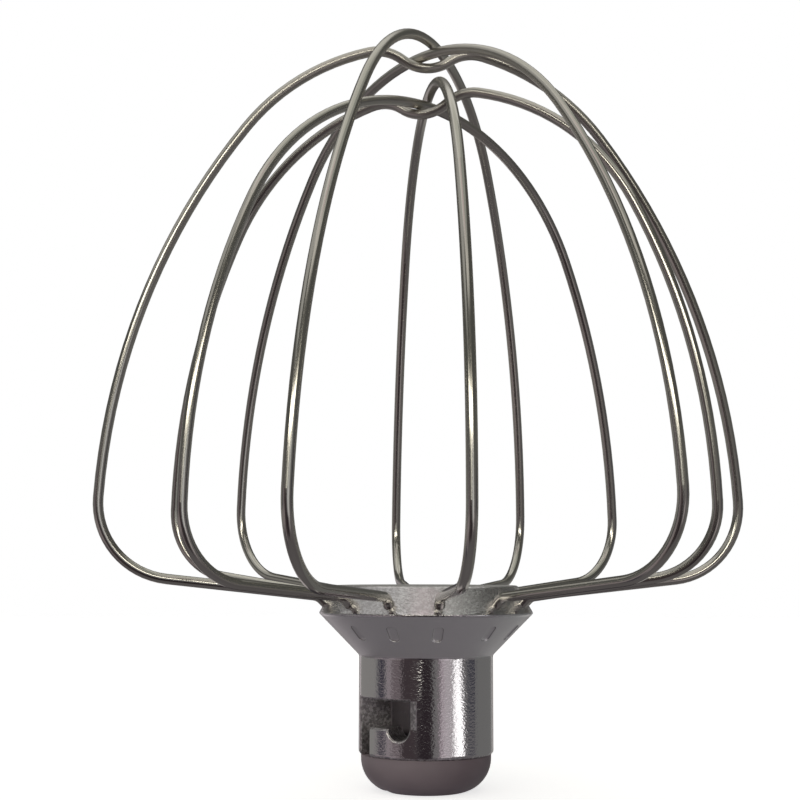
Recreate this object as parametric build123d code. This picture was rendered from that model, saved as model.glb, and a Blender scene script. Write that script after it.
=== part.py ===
from build123d import *

import os
from math import acos, cos, degrees, hypot, radians, sin, tan

# Whisk of a stand mixer. A turned hub carries six looped wires in two tiers and ends in a shaft socket
# with a bayonet slot. The origin is on the axis at the mouth of the socket, and +Z points to the crown.
# The slot is centred on -Y. Turns are measured about +Z from +X.

# Shaft, its cross pin and the slot that locks it
SHAFT_DIAMETER = 12.7
SHAFT_CLEARANCE = 0.15
SOCKET_DEPTH = 31.0
PIN_DIAMETER = 4.0
PIN_REACH = 8.8
PIN_CLEARANCE = 0.15
LOCK_TURN = 42.0
SLOT_RISE = 5.55
SLOT_HEIGHT = 5.2
SLOT_EDGE = 0.35
RELIEF_WIDTH = 1.5
RELIEF_DEPTH = 0.9

# Hub
BARREL_RADIUS = 12.9
BARREL_LENGTH = 18.55
BARREL_EDGE = 0.7
CONE_HEIGHT = 8.0
CONE_FOOT_FILLET = 0.8
RIM_RADIUS = 20.7
RIM_EDGE = 0.35
BAND_HEIGHT = 5.3
BAND_SLOPE = 29.5
TOP_EDGE = 0.8

# Ring round the mouth
RING_HEIGHT = 6.95
RING_STEP = 0.45
RING_SIDE = 0.75
RING_WALL = 2.5
RING_LIP = 1.6
RING_CLEARANCE = 0.05
FOOT_LAND = 1.1

# Wires and their sockets in the band
WIRE_DIAMETER = 2.0
WIRE_CLEARANCE = 0.05
WIRE_SOCKET_RISE = 2.0
WIRE_SOCKET_DIP = 45.0
WIRE_SOCKET_DEPTH = 5.0
ELBOW_STAND = 0.75
ELBOW_BEND = 3.0
NODE_BEND = 8.0
NODE_CLEARANCE = 0.2

# Punched marks on the cone that lock the wire ends
STAKE_RISE = 4.5
STAKE_WIDTH = 2.4
STAKE_LENGTH = 4.2
STAKE_CORNER = 1.0
STAKE_DEPTH = 0.35
STAKE_FLOOR_EDGE = 0.8

# Outer tier: radius and height of the wire's centreline, and the bends of a leg. Turn, slope of the run and
# sway out of the wire's own plane differ from wire to wire, and are given from the upper one to the lower.
OUTER_RADIUS = 63.0
OUTER_HEIGHT = 113.4
OUTER_SHOULDER = 14.8
OUTER_LEAN = 3.3
OUTER_CROWN_LEAN = 37.2
OUTER_TURNS = (-65.3, -3.2, 52.5)
OUTER_RUN_SLOPES = (3.6, 6.2, 6.2)
OUTER_SWAYS = (0.9, -0.4, 0.0)

# Inner tier
INNER_RADIUS = 56.7
INNER_HEIGHT = 103.6
INNER_SHOULDER = 13.5
INNER_LEAN = 1.6
INNER_CROWN_LEAN = 26.8
INNER_TURNS = (-37.8, 88.3, 23.0)
INNER_RUN_SLOPES = (4.7, 5.7, 8.4)
INNER_SWAYS = (0.4, 0.4, -0.5)

# Sizes that follow from those above
bore_radius = SHAFT_DIAMETER / 2 + SHAFT_CLEARANCE
pocket_radius = PIN_DIAMETER / 2 + PIN_CLEARANCE
ring_radius = BARREL_RADIUS - RING_STEP
spigot_radius = ring_radius - RING_WALL - RING_CLEARANCE
slot_floor = RING_HEIGHT + SLOT_RISE
slot_roof = slot_floor + SLOT_HEIGHT
cone_foot = RING_HEIGHT + BARREL_LENGTH
rim_height = cone_foot + CONE_HEIGHT
top_height = rim_height + BAND_HEIGHT
top_radius = RIM_RADIUS - BAND_HEIGHT * tan(radians(BAND_SLOPE))
wire_radius = WIRE_DIAMETER / 2
node_pitch = WIRE_DIAMETER + NODE_CLEARANCE
socket_mouth = Vector(
    RIM_RADIUS - WIRE_SOCKET_RISE * tan(radians(BAND_SLOPE)),
    rim_height + WIRE_SOCKET_RISE,
)
socket_out = Vector(cos(radians(WIRE_SOCKET_DIP)), sin(radians(WIRE_SOCKET_DIP)))


def rounded(profile, point, radius):
    """The profile with the corner nearest to a point rounded."""
    return fillet(profile.vertices().sort_by_distance(point)[0], radius)


def leg_path(radius, height, shoulder, run_slope, lean, crown_lean, dip):
    """One leg of a wire from its end in the hub to the axis, as tangent lines and arcs, X outwards, Y up."""
    elbow_turn = WIRE_SOCKET_DIP - run_slope
    elbow_foot = socket_mouth + socket_out * ELBOW_STAND
    wire_end = socket_mouth - socket_out * (WIRE_SOCKET_DEPTH - WIRE_CLEARANCE)
    stub = Line(wire_end, elbow_foot)
    elbow = JernArc(stub @ 1, stub % 1, ELBOW_BEND, -elbow_turn)

    # The run ends where it touches the shoulder bend, whose widest point is at the tier's radius.
    slope = radians(run_slope)
    run_end = radius - shoulder + shoulder * sin(slope)
    run_length = (run_end - (elbow @ 1).X) / cos(slope)
    run = Line(elbow @ 1, (elbow @ 1) + (elbow % 1) * run_length)
    bend = JernArc(run @ 1, run % 1, shoulder, 90 - run_slope + lean)

    # The side and crown radii are those that bring the leg level on the axis at the crown's height.
    low, high = radians(lean), radians(crown_lean)
    reach = (bend @ 1).X
    climb = rim_height + height - (bend @ 1).Y
    determinant = (cos(low) - cos(high)) * (1 - sin(high)) - cos(high) * (sin(high) - sin(low))
    side_radius = (reach * (1 - sin(high)) - climb * cos(high)) / determinant
    crown_radius = (climb * (cos(low) - cos(high)) - reach * (sin(high) - sin(low))) / determinant
    side = JernArc(bend @ 1, bend % 1, side_radius, crown_lean - lean)
    legs = [stub, elbow, run, bend, side]
    if not dip:
        return legs + [JernArc(side @ 1, side % 1, crown_radius, 90 - crown_lean)]

    # A dipped crown turns over and back: the three arc centres form a triangle with these sides.
    inner, outer = crown_radius - NODE_BEND, 2 * NODE_BEND
    base = inner + outer - dip
    start = degrees(acos((inner**2 + base**2 - outer**2) / (2 * inner * base)))
    fall = degrees(acos((outer**2 + base**2 - inner**2) / (2 * outer * base)))
    crown = JernArc(side @ 1, side % 1, crown_radius, 90 - crown_lean - start)
    over = JernArc(crown @ 1, crown % 1, NODE_BEND, start + fall)
    under = JernArc(over @ 1, over % 1, NODE_BEND, -fall)
    return legs + [crown, over, under]


def seat(turn, sway):
    """Where a wire stands: swayed about the middle of the rim, then turned about the axis."""
    return Rot(Z=turn) * Pos(Z=rim_height) * Rot(X=-sway) * Pos(Z=-rim_height)


def looped_wire(leg):
    """A whole wire in the XZ plane: the leg and its mirror image, swept round."""
    path = Wire(leg + [edge.mirror(Plane.YZ) for edge in leg])
    path = Plane.XZ * path
    start = Plane(path @ 0, z_dir=path % 0)
    return sweep(start * Circle(wire_radius), path)


def tier(radius, height, shoulder, lean, crown_lean, seats, run_slopes):
    """Three wires that cross at the crown: one over, one between and one that dips under both."""
    stack = ((0, 0), (node_pitch, 0), (0, 2 * node_pitch))
    for (drop, dip), place, run_slope in zip(stack, seats, run_slopes):
        leg = leg_path(radius, height - drop, shoulder, run_slope, lean, crown_lean, dip)
        yield place * looped_wire(leg)


def wire_socket():
    """Blind hole for one wire end, on the +X side."""
    floor = socket_mouth - socket_out * WIRE_SOCKET_DEPTH
    axis = Plane((floor.X, 0, floor.Y), z_dir=(socket_out.X, 0, socket_out.Y))
    depth = WIRE_SOCKET_DEPTH + WIRE_DIAMETER
    return axis * Cylinder(
        wire_radius + WIRE_CLEARANCE, depth, align=(Align.CENTER, Align.CENTER, Align.MIN)
    )


def stake_mark():
    """Punched mark below a wire socket, square to the cone, on the +X side."""
    flare = (RIM_RADIUS - BARREL_RADIUS) / CONE_HEIGHT
    face = Plane(
        (BARREL_RADIUS + STAKE_RISE * flare, 0, cone_foot + STAKE_RISE),
        x_dir=(0, 1, 0),
        z_dir=(1, 0, -flare),
    )
    outline = RectangleRounded(STAKE_WIDTH, STAKE_LENGTH, STAKE_CORNER)
    punch = extrude(face.offset(-STAKE_DEPTH) * outline, 2 * STAKE_FLOOR_EDGE)
    punch_end = punch.faces().filter_by(face).sort_by(Axis.Z)[-1]
    return fillet(punch_end.edges(), STAKE_FLOOR_EDGE)


def radial_cut(turn, low, high, reach):
    """Straight cut as wide as the pin's path, from the axis outwards at a turn from -Y."""
    block = Box(
        2 * pocket_radius, reach, high - low, align=(Align.CENTER, Align.MAX, Align.MIN)
    )
    return Rot(Z=turn) * Pos(Z=low) * block


def bayonet_slot():
    """Entry from the mouth, a turn under the roof and a round pocket that the pin drops into."""
    reach = BARREL_RADIUS + pocket_radius
    half = LOCK_TURN / 2
    window = Pos(reach / 2, (slot_floor + slot_roof) / 2) * Rectangle(reach, SLOT_HEIGHT)
    window_round = Rot(Z=-90 - half) * revolve(Plane.XZ * window, Axis.Z, LOCK_TURN)
    pin = Plane((0, 0, slot_floor), z_dir=(0, -1, 0)) * Cylinder(
        pocket_radius, reach, align=(Align.CENTER, Align.CENTER, Align.MIN)
    )
    entry = radial_cut(-half, 0, slot_roof, reach)
    pocket = radial_cut(half, slot_floor, slot_roof, reach) + Rot(Z=half) * pin
    return window_round + entry + pocket


def pocket_relief():
    """Slanted cut that takes the barrel's corner off at the closed end of the slot."""
    side = pocket_radius + RELIEF_WIDTH
    corner = (BARREL_RADIUS**2 - pocket_radius**2) ** 0.5
    mouth = (BARREL_RADIUS**2 - side**2) ** 0.5
    wedge = Polyline(
        (0, RELIEF_DEPTH - corner),
        (pocket_radius, RELIEF_DEPTH - corner),
        (side, -mouth),
        (side, -BARREL_RADIUS),
        (0, -BARREL_RADIUS),
        close=True,
    )
    return Rot(Z=LOCK_TURN / 2) * Pos(Z=slot_floor) * extrude(make_face(wedge), SLOT_HEIGHT)


def on_slot_mouth(edge):
    """Whether an edge is where the slot breaks through the barrel's outside."""
    points = (edge @ 0, edge @ 0.5, edge @ 1)
    on_barrel = all(abs(hypot(point.X, point.Y) - BARREL_RADIUS) < SLOT_EDGE / 10 for point in points)
    low, high = RING_HEIGHT + BARREL_EDGE, cone_foot - CONE_FOOT_FILLET
    return on_barrel and low < edge.center().Z < high


def hub():
    """Turned body with its bore, slot, wire sockets and stake marks."""
    outline = Polyline(
        (bore_radius, RING_LIP),
        (spigot_radius, RING_LIP),
        (spigot_radius, RING_HEIGHT),
        (BARREL_RADIUS, RING_HEIGHT),
        (BARREL_RADIUS, cone_foot),
        (RIM_RADIUS, rim_height),
        (top_radius, top_height),
        (0, top_height),
        (0, SOCKET_DEPTH),
        (bore_radius, SOCKET_DEPTH),
        close=True,
    )
    profile = make_face(outline)
    profile = rounded(profile, (BARREL_RADIUS, RING_HEIGHT), BARREL_EDGE)
    profile = rounded(profile, (BARREL_RADIUS, cone_foot), CONE_FOOT_FILLET)
    profile = rounded(profile, (RIM_RADIUS, rim_height), RIM_EDGE)
    profile = rounded(profile, (top_radius, top_height), TOP_EDGE)
    body = revolve(Plane.XZ * profile, Axis.Z) - bayonet_slot()
    body = chamfer(body.edges().filter_by(on_slot_mouth), SLOT_EDGE) - pocket_relief()
    cuts = wire_socket() + stake_mark()
    for place in outer_seats + inner_seats:
        body -= [place * cuts, place * Rot(Z=180) * cuts]
    return body


def mouth_ring():
    """Moulded ring on the hub's spigot, with a keyway in its lip for the pin."""
    foot_radius = bore_radius + FOOT_LAND
    socket_radius = spigot_radius + RING_CLEARANCE
    side_foot = (ring_radius, RING_HEIGHT - RING_SIDE)
    outline = [
        Polyline(
            (foot_radius, 0),
            (bore_radius, 0),
            (bore_radius, RING_LIP),
            (socket_radius, RING_LIP),
            (socket_radius, RING_HEIGHT),
            (ring_radius, RING_HEIGHT),
            side_foot,
        ),
        TangentArc(side_foot, (foot_radius, 0), tangent=(0, -1)),
    ]
    ring = revolve(Plane.XZ * make_face(outline), Axis.Z)
    keyway = radial_cut(-LOCK_TURN / 2, 0, RING_LIP, PIN_REACH + PIN_CLEARANCE)
    return ring - keyway


outer_seats = [seat(turn, sway) for turn, sway in zip(OUTER_TURNS, OUTER_SWAYS)]
inner_seats = [seat(turn, sway) for turn, sway in zip(INNER_TURNS, INNER_SWAYS)]
outer_tier = tier(
    OUTER_RADIUS,
    OUTER_HEIGHT,
    OUTER_SHOULDER,
    OUTER_LEAN,
    OUTER_CROWN_LEAN,
    outer_seats,
    OUTER_RUN_SLOPES,
)
inner_tier = tier(
    INNER_RADIUS,
    INNER_HEIGHT,
    INNER_SHOULDER,
    INNER_LEAN,
    INNER_CROWN_LEAN,
    inner_seats,
    INNER_RUN_SLOPES,
)

parts = {"hub": hub(), "mouth_ring": mouth_ring()}
for place, outer_wire, inner_wire in zip(("upper", "middle", "lower"), outer_tier, inner_tier):
    parts[f"outer_wire_{place}"] = outer_wire
    parts[f"inner_wire_{place}"] = inner_wire

os.makedirs("parts", exist_ok=True)
for name, solid in parts.items():
    export_step(solid, f"parts/{name}.step")
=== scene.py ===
from math import radians

import bmesh
import bpy
from mathutils import Matrix

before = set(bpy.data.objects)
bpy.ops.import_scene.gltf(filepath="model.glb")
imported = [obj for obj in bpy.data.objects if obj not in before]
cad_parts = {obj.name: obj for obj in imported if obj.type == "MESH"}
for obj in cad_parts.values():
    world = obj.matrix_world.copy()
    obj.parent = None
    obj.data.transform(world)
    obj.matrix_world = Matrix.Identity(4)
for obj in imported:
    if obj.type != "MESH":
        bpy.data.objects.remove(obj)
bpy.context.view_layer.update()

# Hub: one aluminium casting, skimmed on a lathe. The barrel is polished over a coarse skin, the cone is
# blasted to a satin, and the band above the rim has a mottled half polish. The flat top and the slot stay as
# cast, the bore is reamed, and a punch has staked each wire end through the cone.


class Socket:
    """A shader socket that works in sums and products as a number does."""

    def __init__(self, finish, socket):
        self.finish = finish
        self.socket = socket

    def math(self, operation, *values):
        return self.finish.node("Math", {"operation": operation}, dict(enumerate(values)))

    def __add__(self, other):
        return self.math("ADD", self, other)

    def __sub__(self, other):
        return self.math("SUBTRACT", self, other)

    def __rsub__(self, other):
        return self.math("SUBTRACT", other, self)

    def __mul__(self, other):
        return self.math("MULTIPLY", self, other)

    def __truediv__(self, other):
        return self.math("DIVIDE", self, other)

    def __pow__(self, other):
        return self.math("POWER", self, other)

    def __abs__(self):
        return self.math("ABSOLUTE", self)

    __radd__ = __add__
    __rmul__ = __mul__


class Finish:
    """A node tree that is being filled: a material's or the studio's."""

    def __init__(self, tree):
        self.tree = tree
        tree.nodes.clear()

    def node(self, kind, settings=None, sockets=None, output=0):
        """Any node: its settings are set first, then the values or links of its sockets."""
        made = self.tree.nodes.new("ShaderNode" + kind)
        for key, value in (settings or {}).items():
            if key == "stops":
                ramp = made.color_ramp.elements
                for place, colour in value[1:-1]:
                    ramp.new(place)
                for element, (place, colour) in zip(ramp, value):
                    element.position = place
                    element.color = (*colour, 1)
            else:
                setattr(made, key, value)
        for key, value in (sockets or {}).items():
            if isinstance(value, Socket):
                self.tree.links.new(value.socket, made.inputs[key])
            else:
                made.inputs[key].default_value = value
        if made.outputs:
            return Socket(self, made.outputs[output])

    def blend(self, share, first, second):
        """A colour between two others."""
        ends = [value if isinstance(value, Socket) else (*value, 1) for value in (first, second)]
        sockets = {0: share, 6: ends[0], 7: ends[1]}
        return self.node("Mix", {"data_type": "RGBA"}, sockets, output=2)

    def rise(self, value, low, high):
        """0 below low, 1 above high and smooth between them; low may be the larger."""
        settings = {"interpolation_type": "SMOOTHSTEP"}
        return self.node("MapRange", settings, {"Value": value, "From Min": low, "From Max": high})

    def noise(self, place, scale, detail=2.0, roughness=0.5):
        """A noise whose scale is its number of waves in a metre."""
        sockets = {"Vector": place, "Scale": scale, "Detail": detail, "Roughness": roughness}
        return self.node("TexNoise", {}, sockets)

    def place(self):
        """Object coordinates, and their X, Y and Z."""
        whole = self.node("TexCoord", {}, {}, output="Object")
        return whole, *(self.node("SeparateXYZ", {}, {0: whole}, output=axis) for axis in "XYZ")

    def stretched(self, place, scale):
        return self.node("Mapping", {}, {"Vector": place, "Scale": scale})

    def bumped(self, height, distance):
        return self.node("Bump", {}, {"Height": height, "Distance": distance})

    def surface(self, **sockets):
        """The principled shader at the end of a material."""
        named = {key.replace("_", " "): value for key, value in sockets.items()}
        shader = self.node("BsdfPrincipled", {}, named)
        self.node("OutputMaterial", {}, {"Surface": shader})


def new_finish(name):
    material = bpy.data.materials.new(name)
    material.use_nodes = True
    return material, Finish(material.node_tree)


def put_on(material, *pieces):
    for piece in pieces:
        piece.data.materials.clear()
        piece.data.materials.append(material)


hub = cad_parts["hub"]
bore_radius = 0.0065
barrel_radius = 0.0129
rim_radius = 0.0207
cone_foot = 0.0255
cone_height = 0.0080
band_height = 0.0053
rim_height = cone_foot + cone_height
top_height = rim_height + band_height
cone_flare = (rim_radius - barrel_radius) / cone_height

hub_metal, f = new_finish("hub_metal")
place, x, y, z = f.place()
radius = (x * x + y * y) ** 0.5
around = y.math("ARCTAN2", y, x)

# Areas of the hub, each 1 where it lies and 0 elsewhere. The bore is a part of the inside.
edge = 0.0001
barrel = f.rise(z, cone_foot + 2 * edge, cone_foot - 2 * edge)
band = f.rise(z, rim_height - edge, rim_height + edge)
top = f.rise(z, top_height - 2 * edge, top_height)
rim = f.rise(radius, rim_radius - 6 * edge, rim_radius - 3 * edge)
inside = f.rise(radius, barrel_radius - 0.5 * edge, barrel_radius - 1.5 * edge) * barrel
bore = f.rise(radius, bore_radius + 4 * edge, bore_radius + 2 * edge) * barrel

# Painted shade on the walls of the stake marks: under the cone's surface, but not as deep as the floor of a
# mark.
stake_edge = (0.00002, 0.00012)
stake_floor = (0.00034, 0.00016)
dent = barrel_radius + (z - cone_foot) * cone_flare - radius
stake_shade = f.rise(dent, *stake_edge) * f.rise(dent, *stake_floor) * (1 - barrel) * (1 - band)

# A scuff that runs up the barrel to the cone.
scuff_turn = radians(-50)
scuff_half = radians(4)
scuff_ends = (0.0165, 0.0185)
scuff = f.rise(abs(around - scuff_turn), scuff_half, 0.0) * f.rise(z, *scuff_ends) * barrel

# Patterns: the coarse skin, the blasted grain, the lines of the lathe, clouds in the satin, and the mottle
# of the casting.
mottle_range = (0.42, 0.62)
peel = f.noise(f.stretched(place, (1, 1, 1.6)), 1900.0)
grain = f.noise(place, 4200.0)
turned = f.node("TexNoise", {"noise_dimensions": "1D"}, {"W": radius + z, "Scale": 5000.0, "Detail": 3.0})
cloud = f.noise(place, 260.0, detail=3.0)
cast = f.rise(f.noise(place, 1500.0, detail=3.0, roughness=0.6), *mottle_range)

# Colours: where there are two, the finish runs from the first to the second, and in the bore it does so
# between two heights: the bore is painted dark low down as painted shade, with bright metal above.
bore_shade_ends = (0.0098, 0.0110)
satin = (0.95, 0.945, 0.955)
polish = (0.75, 0.73, 0.735)
stake_shade_grey = (0.53, 0.53, 0.535)
half_polish = (0.64, 0.62, 0.63), (0.79, 0.78, 0.79)
slot_greys = (0.42, 0.405, 0.41), (0.84, 0.82, 0.825)
bore_shade_greys = (0.26, 0.24, 0.25), (0.96, 0.94, 0.945)
top_greys = (0.56, 0.555, 0.55), (0.70, 0.695, 0.69)
skin = f.blend(barrel, satin, polish)
skin = f.blend(band, skin, f.blend(cast, *half_polish))
# The walls of the stake marks are painted a darker grey as painted shade.
skin = f.blend(stake_shade, skin, stake_shade_grey)
# Painted shade: the bore is painted dark below the lower height and runs to bright metal above the higher
# one.
bore_shade = f.blend(f.rise(z, *bore_shade_ends), *bore_shade_greys)
skin = f.blend(inside, skin, f.blend(bore, f.blend(cast, *slot_greys), bore_shade))
skin = f.blend(top, skin, f.blend(cast, *top_greys))

# Roughness of the satin cone, with what each other area adds or takes away.
rough = 0.46 - barrel * 0.36 - band * 0.20 + inside * 0.30 + top * 0.44 - rim * 0.19
rough = rough + (cloud - 0.5) * 0.07 + (turned - 0.5) * (0.10 - band * 0.06)

# Height of the skin: each area's share of the coarse skin, and grain and lathe lines over it.
skin_depth = 0.000030
height = peel * (barrel * 1.25 + band * 1.8 + top + scuff * 1.7 + inside * 3.0 - bore * 2.0)
height = height + grain * (0.4 - barrel * 0.2) + turned * (0.2 - barrel * 0.1 - band * 0.15)
f.surface(
    Base_Color=skin,
    Metallic=1.0,
    Roughness=rough,
    Normal=f.bumped(height, skin_depth),
)
put_on(hub_metal, hub)

# Mouth ring: a dull mauve-grey plastic ring, moulded in one shot and pressed on the hub's spigot until it
# meets the barrel. Its foot is rounded over and its tone is hazy, and its left side, as the camera sees it,
# is painted paler as painted light.

ring_dark = (0.19, 0.145, 0.171)
ring_pale = (0.485, 0.420, 0.459)
lit_side_ends = (0.013, -0.015)
pore_depth = 0.000008

ring_plastic, f = new_finish("ring_plastic")
place, x, y, z = f.place()
pores = f.noise(place, 1800.0, detail=4.0, roughness=0.6)
haze = f.noise(place, 150.0)
# Painted light: the ring's left side, as the camera sees it, is painted paler.
lit_side = f.rise(x + y, *lit_side_ends)
f.surface(
    Base_Color=f.blend(haze * 0.5 + lit_side * 0.5, ring_dark, ring_pale),
    Roughness=0.40 + haze * 0.14,
    Normal=f.bumped(pores, pore_depth),
)
put_on(ring_plastic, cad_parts["mouth_ring"])

# Wires: six loops of drawn stainless wire, bent on a jig and staked in the hub. The drawing die leaves a
# smooth, semi-bright skin that is duller in patches and over the crown.

wires = [node for name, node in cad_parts.items() if "_wire_" in name]
crown_foot = 0.120
crown_fade = 0.015
steel_dark = (0.54, 0.522, 0.475)
steel_pale = (0.69, 0.670, 0.615)

wire_steel, f = new_finish("wire_steel")
place, x, y, z = f.place()
legs = f.rise(z, crown_foot + crown_fade, crown_foot)
streak = f.noise(f.stretched(place, (1, 1, 0.05)), 1500.0, detail=3.0, roughness=0.6)
dull = f.noise(place, 60.0, detail=3.0)
f.surface(
    Base_Color=f.blend(dull, steel_dark, steel_pale),
    Metallic=1.0,
    Roughness=0.26 - legs * 0.17 + dull * 0.08 + streak * legs * 0.05,
)
put_on(wire_steel, *wires)

# Studio: a pale floor that fades into a white room, and the camera where the photograph was taken from.
# What reflects in the metal is a dim room of soft panels with one lamp, and four cards close by, three
# for the hub alone and one for the wires alone.

camera_turn = radians(45.0)
camera_distance = 0.2858
camera_height = 0.0417
camera_pitch = 0.1159
camera_yaw = 0.0179
camera_roll = 0.002
focal_pixels = 1461.0
image_pixels = 800
sensor_width = 36.0

camera = bpy.data.objects.new("camera", bpy.data.cameras.new("camera"))
bpy.context.scene.collection.objects.link(camera)
camera.data.sensor_width = sensor_width
camera.data.lens = sensor_width * focal_pixels / image_pixels
camera.data.clip_start = 0.01
turn = Matrix.Rotation(camera_turn, 4, "Z")
aim = Matrix.Rotation(camera_yaw, 4, "Z") @ Matrix.Rotation(radians(90) + camera_pitch, 4, "X")
aim = aim @ Matrix.Rotation(camera_roll, 4, "Z")
camera.matrix_world = turn @ Matrix.Translation((0, -camera_distance, camera_height)) @ aim
bpy.context.scene.camera = camera

floor_radius = 1.2
floor_fade = 0.3 * floor_radius
floor_glow = 0.70

shape = bmesh.new()
bmesh.ops.create_circle(shape, cap_ends=True, segments=96, radius=floor_radius)
mesh = bpy.data.meshes.new("floor")
shape.to_mesh(mesh)
shape.free()
floor = bpy.data.objects.new("floor", mesh)
bpy.context.scene.collection.objects.link(floor)
floor.visible_glossy = False
floor.visible_diffuse = False
floor.visible_shadow = False

floor_paint, f = new_finish("floor_paint")
place, x, y, z = f.place()
f.surface(
    Base_Color=(0.9, 0.9, 0.9, 1),
    Roughness=0.9,
    Emission_Color=(1, 1, 1, 1),
    Emission_Strength=floor_glow,
    Alpha=f.rise((x * x + y * y) ** 0.5, floor_radius, floor_fade),
)
put_on(floor_paint, floor)

# The room is laid out by azimuth, from the camera to its right, and by elevation.
world = bpy.data.worlds.new("studio")
bpy.context.scene.world = world
world.use_nodes = True
f = Finish(world.node_tree)
look = f.node("TexCoord", {}, {}, output="Generated")
look = f.node("Mapping", {}, {"Vector": look, "Rotation": (0, 0, -camera_turn)})
right, away, up = (f.node("SeparateXYZ", {}, {0: look}, output=axis) for axis in "XYZ")
azimuth = right.math("ARCTAN2", right, 0 - away)
elevation = up.math("ARCSINE", up)

# Rows: elevation in degrees, and the colour of the room there, all round.
rows = [
    (-90, (0.135, 0.127, 0.134)),
    (-34, (0.115, 0.106, 0.112)),
    (-14, (0.165, 0.155, 0.16)),
    (0, (0.20, 0.20, 0.195)),
    (18, (0.10, 0.10, 0.095)),
    (46, (0.09, 0.09, 0.082)),
    (54, (0.80, 0.79, 0.76)),
    (64, (0.78, 0.77, 0.73)),
    (76, (0.62, 0.62, 0.57)),
    (90, (0.60, 0.60, 0.55)),
]
stops = [((row + 90) / 180, colour) for row, colour in rows]
room = f.node("ValToRGB", {"stops": stops}, {0: elevation / radians(180) + 0.5})

# Panels: azimuth of the middle, half width, lowest and highest elevation, all in degrees, and colour. A
# later one lies over an earlier one, and the degrees of blur below soften their edges.
panels = [
    (-125, 30, -14, 10, (0.25, 0.245, 0.235)),
    (-81.5, 7.5, -45, 10, (0.05, 0.047, 0.062)),
    (-66, 5.5, -45, 10, (0.28, 0.245, 0.26)),
    (-52, 9, -45, 10, (0.14, 0.115, 0.123)),
    (-66, 34, -26, -9, (0.27, 0.235, 0.245)),
    (-29, 14, -45, 10, (0.052, 0.040, 0.044)),
    (-1.5, 13.5, -45, 4, (0.026, 0.019, 0.023)),
    (25.5, 4.5, -45, 10, (0.16, 0.132, 0.145)),
    (36, 9, -30, -9, (0.40, 0.37, 0.385)),
    (84, 11, -6, 10, (0.045, 0.045, 0.06)),
    (58, 12, -30, 8, (0.14, 0.13, 0.135)),
    (125, 30, -45, 10, (0.165, 0.165, 0.162)),
    (158, 8, -45, 10, (0.40, 0.39, 0.38)),
    (-158, 8, -45, 10, (0.50, 0.46, 0.47)),
    (174, 8, -45, 10, (0.045, 0.040, 0.045)),
    (-174, 8, -45, 10, (0.045, 0.040, 0.045)),
    (-14, 12, 5, 14, (0.40, 0.39, 0.37)),
    (-5, 3, 9, 24, (2.0, 1.95, 1.75)),
    (18, 30, 41, 54, (0.70, 0.68, 0.64)),
    (70, 52, 50, 70, (0.36, 0.37, 0.34)),
    (0, 22, 54, 68, (0.62, 0.53, 0.53)),
    (-85, 45, 30, 58, (0.44, 0.435, 0.42)),
]
side_blur = 3
end_blur = 4
for middle, half, low, high, colour in panels:
    off = abs(azimuth - radians(middle))
    mask = f.rise(off, radians(half + side_blur), radians(half - side_blur))
    mask = mask * f.rise(elevation, radians(low - end_blur), radians(low + end_blur))
    mask = mask * f.rise(elevation, radians(high + end_blur), radians(high - end_blur))
    room = f.blend(mask, room, colour)

# Lamp: one long narrow tube above and behind the camera, with a warm glow round its right half.
lamp_turn = radians(-7)
lamp_rise = radians(21)
lamp_ends = (radians(42), radians(28))
lamp_sides = (radians(4.2), radians(2.1))
lamp_colour = (4.6, 4.4, 3.9)
glow_turn = radians(18)
glow_reach = radians(16)
glow_share = 0.6
glow_colour = (0.52, 0.49, 0.40)

above = abs(elevation - lamp_rise)
aside = abs(azimuth - glow_turn)
glow = f.rise((aside * aside + above * above) ** 0.5, glow_reach, 0.0)
room = f.blend(glow * glow_share, room, glow_colour)
tube = f.rise(abs(azimuth - lamp_turn), *lamp_ends) * f.rise(above, *lamp_sides)
room = f.blend(tube, room, lamp_colour)

# Only the camera sees the white of the room.
lit = f.node("Background", {}, {"Color": room})
white = f.node("Background", {}, {"Color": (1, 1, 1, 1)})
seen = f.node("LightPath", {}, {}, output="Is Camera Ray")
shown = f.node("MixShader", {}, {0: seen, 1: lit, 2: white})
f.node("OutputWorld", {}, {"Surface": shown})
bpy.context.scene.view_settings.view_transform = "Standard"

# Cards: bright sheets, each of which lights only the pieces named for it. Three stand beside the hub, and a
# wide one in front of the cage faces its left half.
card_distance = 0.10


def add_card(pieces, place, width, length, power, tint=(1, 1, 1), spread=radians(180)):
    """A card that shines along its place's Y axis, with its power in watts for each square metre."""
    card = bpy.data.objects.new("card", bpy.data.lights.new("card", "AREA"))
    bpy.context.scene.collection.objects.link(card)
    card.data.shape = "RECTANGLE"
    card.data.size = width
    card.data.size_y = length
    card.data.energy = power * width * length
    card.data.color = tint
    card.data.spread = spread
    card.visible_camera = False
    lit_pieces = bpy.data.collections.new("lit_pieces")
    for piece in pieces:
        lit_pieces.objects.link(piece)
    card.light_linking.receiver_collection = lit_pieces
    card.matrix_world = turn @ place @ Matrix.Rotation(radians(90), 4, "X")


def beside(bearing, height):
    """A place that faces the axis, at a bearing in degrees from the camera to its right."""
    return Matrix.Rotation(radians(bearing), 4, "Z") @ Matrix.Translation((0, -card_distance, height))


add_card([hub], beside(51.15, 0.008), width=0.0233, length=0.036, power=3.9)
add_card([hub], beside(59.25, -0.001), width=0.0114, length=0.022, power=4.6)
add_card([hub], beside(32.8, 0.012), width=0.036, length=0.09, power=0.72, tint=(1, 0.88, 0.945))
fill_place = Matrix.Translation((-0.030, -0.15, 0.056)) @ Matrix.Rotation(radians(24), 4, "Z")
fill_tint = (0.95, 0.97, 1)
add_card(wires, fill_place, width=0.17, length=0.07, power=0.20, tint=fill_tint, spread=radians(64))
